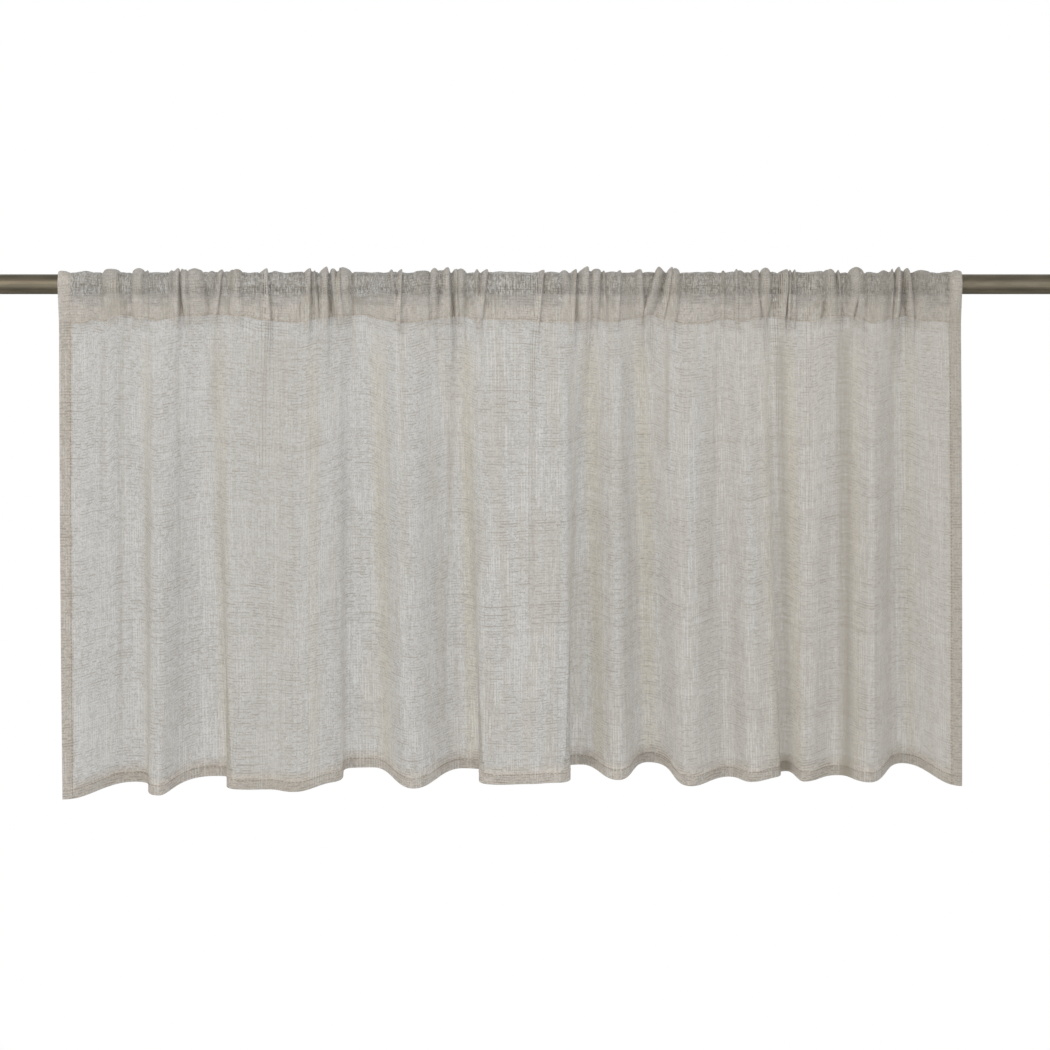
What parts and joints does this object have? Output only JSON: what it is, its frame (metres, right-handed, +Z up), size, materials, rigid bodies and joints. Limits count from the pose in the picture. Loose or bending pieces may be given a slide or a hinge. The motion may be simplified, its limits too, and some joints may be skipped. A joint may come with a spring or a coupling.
{
  "type": "cafe curtain on a curtain rod",
  "caption": "Short sheer linen-look cafe curtain panel with a sewn casing, gathered into uneven soft folds on a plain round metal curtain rod.",
  "frame": {"origin": "middle of the rod's axis, half way along the rod and behind the middle of the gathered panel", "axes": "+X along the rod to the right as seen from the room, -Y towards the room (the cloth's face), +Z up"},
  "size_m": [1.2, 0.056, 0.5408],
  "materials": {
    "cloth": "sheer open plain weave, matt",
    "rod_metal": "satin pewter bronze"
  },
  "bodies": {
    "root": {"curtain": "cloth", "rod": "rod_metal"}
  },
  "joints": []
}
